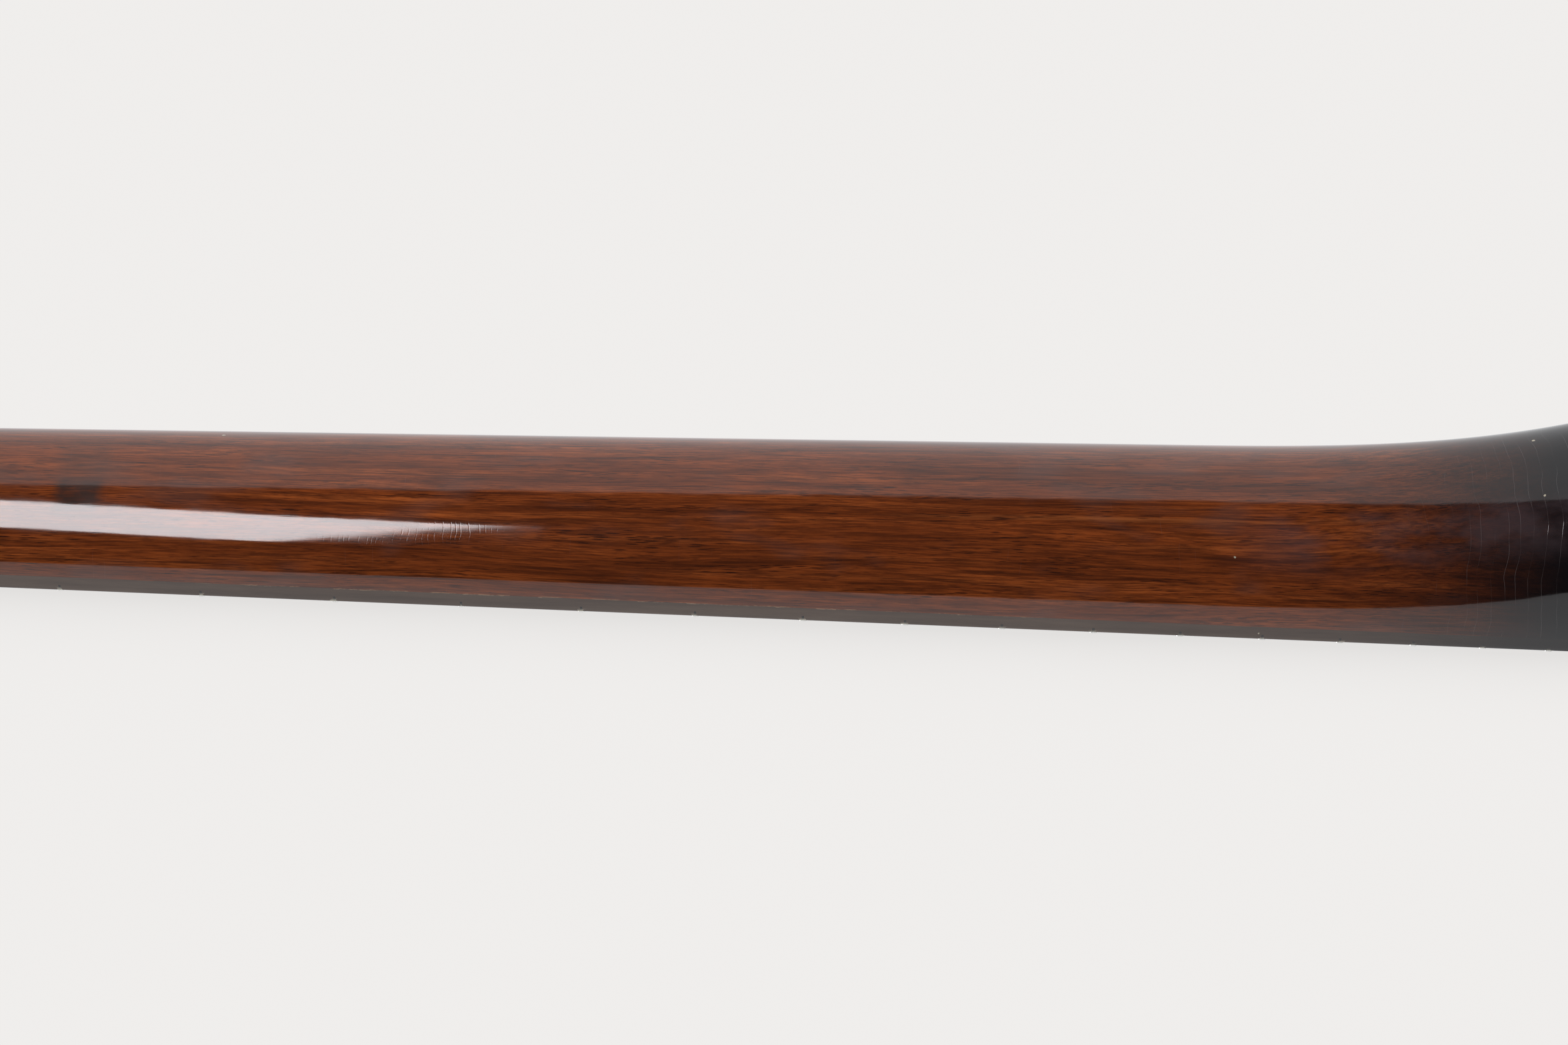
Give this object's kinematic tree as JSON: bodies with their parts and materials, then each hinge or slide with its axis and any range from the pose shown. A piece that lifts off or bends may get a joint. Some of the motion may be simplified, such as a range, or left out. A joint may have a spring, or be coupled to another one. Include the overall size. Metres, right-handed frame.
{
  "type": "guitar neck",
  "caption": "Set guitar neck with a lacquered mahogany back, full heel and tenon, fretted rosewood board, adjustable truss rod and geared tuners.",
  "frame": {"origin": "centre line of the neck, on the fretboard's glue plane, at the heel's shoulder where the neck meets the body (19th fret)", "axes": "+Z along the neck from the body to the headstock, -Y the playing side (frets), +Y the back, +X the treble side"},
  "size_m": [0.1134, 0.0705, 0.643],
  "materials": {
    "mahogany": "gloss lacquer, shaded black at the heel",
    "black_veneer": "gloss lacquer",
    "rosewood": "open grain, oiled",
    "fret_wire": "polished",
    "pearloid": "polished",
    "side_dot": "polished",
    "bone": "polished",
    "rod_steel": "oiled",
    "maple": "bare",
    "brass": "machined",
    "cover_plastic": "gloss",
    "nickel": "polished nickel",
    "button_plastic": "gloss, aged cream"
  },
  "bodies": {
    "neck": {"neck_blank": "mahogany", "headstock_wing_treble": "mahogany", "headstock_wing_bass": "mahogany", "headstock_veneer": "black_veneer", "fretboard": "rosewood", "frets": "fret_wire", "position_dots": "pearloid", "side_dots": "side_dot", "string_nut": "bone", "truss_rod": "rod_steel", "truss_rod_anchor": "rod_steel", "truss_rod_fillet": "maple", "truss_rod_washer": "brass", "truss_rod_cover": "cover_plastic", "truss_cover_screws": "nickel", "post_bushings": "nickel", "tuner_base_plates": "nickel", "tuner_screws": "nickel", "tuner_housing_1": "nickel", "tuner_housing_2": "nickel", "tuner_housing_3": "nickel", "tuner_housing_4": "nickel", "tuner_housing_5": "nickel", "tuner_housing_6": "nickel"},
    "truss_nut": {"truss_rod_nut": "brass"},
    "tuner_key_1": {"worm_shaft_1": "rod_steel", "tuner_button_1": "button_plastic"},
    "tuner_post_1": {"tuner_gear_1": "brass", "string_post_1": "nickel"},
    "tuner_key_2": {"worm_shaft_2": "rod_steel", "tuner_button_2": "button_plastic"},
    "tuner_post_2": {"tuner_gear_2": "brass", "string_post_2": "nickel"},
    "tuner_key_3": {"worm_shaft_3": "rod_steel", "tuner_button_3": "button_plastic"},
    "tuner_post_3": {"tuner_gear_3": "brass", "string_post_3": "nickel"},
    "tuner_key_4": {"worm_shaft_4": "rod_steel", "tuner_button_4": "button_plastic"},
    "tuner_post_4": {"tuner_gear_4": "brass", "string_post_4": "nickel"},
    "tuner_key_5": {"worm_shaft_5": "rod_steel", "tuner_button_5": "button_plastic"},
    "tuner_post_5": {"tuner_gear_5": "brass", "string_post_5": "nickel"},
    "tuner_key_6": {"worm_shaft_6": "rod_steel", "tuner_button_6": "button_plastic"},
    "tuner_post_6": {"tuner_gear_6": "brass", "string_post_6": "nickel"}
  },
  "joints": [
    {"name": "truss_nut_turn", "type": "hinge", "parent": "neck", "child": "truss_nut", "pos_m": [0, 0.0076, 0.43046], "axis": [0, 0, 1], "range_deg": [-180, 180]},
    {"name": "button_spin_1", "type": "hinge", "parent": "neck", "child": "tuner_key_1", "pos_m": [0.0259, 0.02812, 0.45255], "axis": [1, 0, 0], "continuous": true},
    {"name": "post_spin_1", "type": "hinge", "parent": "neck", "child": "tuner_post_1", "pos_m": [0.0199, 0.02615, 0.45979], "axis": [0, 0.9563, -0.2924], "continuous": true},
    {"name": "button_spin_2", "type": "hinge", "parent": "neck", "child": "tuner_key_2", "pos_m": [0.02831, 0.03981, 0.4908], "axis": [1, 0, 0], "continuous": true},
    {"name": "post_spin_2", "type": "hinge", "parent": "neck", "child": "tuner_post_2", "pos_m": [0.02231, 0.03784, 0.49804], "axis": [0, 0.9563, -0.2924], "continuous": true},
    {"name": "button_spin_3", "type": "hinge", "parent": "neck", "child": "tuner_key_3", "pos_m": [0.03072, 0.0515, 0.52905], "axis": [1, 0, 0], "continuous": true},
    {"name": "post_spin_3", "type": "hinge", "parent": "neck", "child": "tuner_post_3", "pos_m": [0.02472, 0.04954, 0.53629], "axis": [0, 0.9563, -0.2924], "continuous": true},
    {"name": "button_spin_4", "type": "hinge", "parent": "neck", "child": "tuner_key_4", "pos_m": [-0.03072, 0.0515, 0.52905], "axis": [1, 0, 0], "continuous": true},
    {"name": "post_spin_4", "type": "hinge", "parent": "neck", "child": "tuner_post_4", "pos_m": [-0.02472, 0.04954, 0.53629], "axis": [0, 0.9563, -0.2924], "continuous": true},
    {"name": "button_spin_5", "type": "hinge", "parent": "neck", "child": "tuner_key_5", "pos_m": [-0.02831, 0.03981, 0.4908], "axis": [1, 0, 0], "continuous": true},
    {"name": "post_spin_5", "type": "hinge", "parent": "neck", "child": "tuner_post_5", "pos_m": [-0.02231, 0.03784, 0.49804], "axis": [0, 0.9563, -0.2924], "continuous": true},
    {"name": "button_spin_6", "type": "hinge", "parent": "neck", "child": "tuner_key_6", "pos_m": [-0.0259, 0.02812, 0.45255], "axis": [1, 0, 0], "continuous": true},
    {"name": "post_spin_6", "type": "hinge", "parent": "neck", "child": "tuner_post_6", "pos_m": [-0.0199, 0.02615, 0.45979], "axis": [0, 0.9563, -0.2924], "continuous": true}
  ],
  "couplings": [
    {"joint": "post_spin_1", "follows": "button_spin_1", "ratio": 0.071429},
    {"joint": "post_spin_2", "follows": "button_spin_2", "ratio": 0.071429},
    {"joint": "post_spin_3", "follows": "button_spin_3", "ratio": 0.071429},
    {"joint": "post_spin_4", "follows": "button_spin_4", "ratio": -0.071429},
    {"joint": "post_spin_5", "follows": "button_spin_5", "ratio": -0.071429},
    {"joint": "post_spin_6", "follows": "button_spin_6", "ratio": -0.071429}
  ]
}
